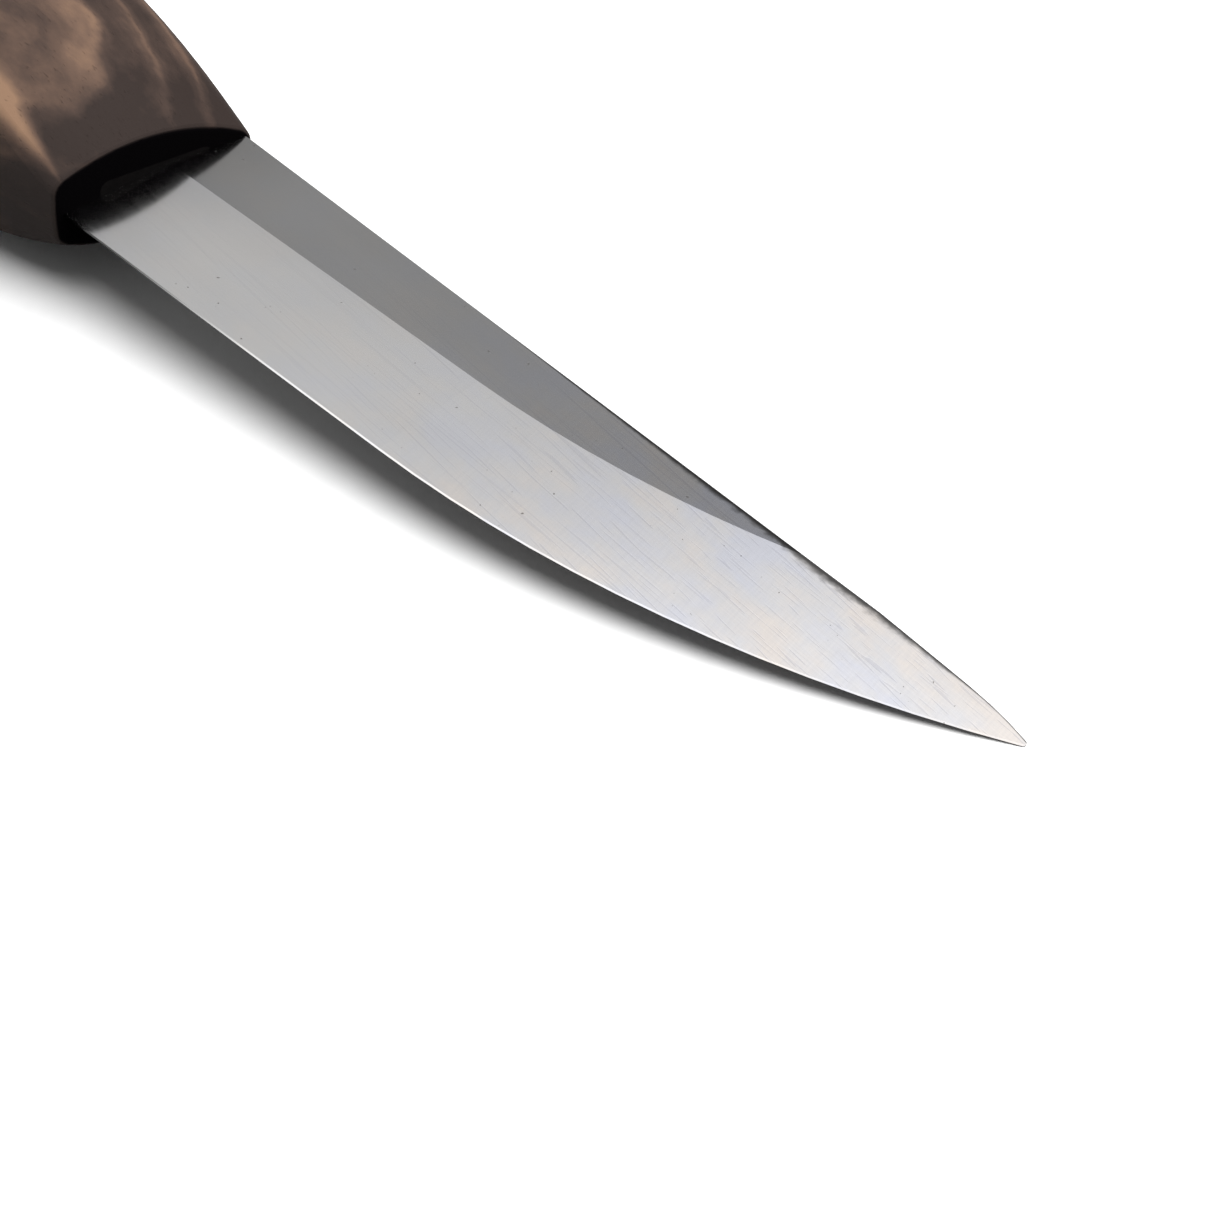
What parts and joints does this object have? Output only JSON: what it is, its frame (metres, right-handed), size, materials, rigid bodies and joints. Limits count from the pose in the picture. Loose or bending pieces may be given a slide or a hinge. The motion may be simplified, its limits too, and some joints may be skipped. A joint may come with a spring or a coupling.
{
  "type": "whittling knife",
  "caption": "Fixed-blade whittling knife: upswept carving blade with one wide bevel a side and a fine honed edge, on a stick tang in a barrel-shaped walnut handle.",
  "frame": {"origin": "middle of the blade's heel, half-way through its thickness, where the blade leaves the handle", "axes": "+X along the blade to its tip, +Y from the cutting edge to the spine, +Z out of the blade's flat side; the knife lies on its side, and z = 0 is the middle of the blade's thickness"},
  "size_m": [0.2065, 0.0275, 0.023],
  "materials": {
    "blade_steel": "satin ground, with fine scratches along the blade",
    "walnut": "oiled, figured, low sheen",
    "adhesive": "dark hardened resin, dull"
  },
  "bodies": {
    "root": {"blade": "blade_steel", "handle": "walnut", "tang_adhesive": "adhesive"}
  },
  "joints": []
}
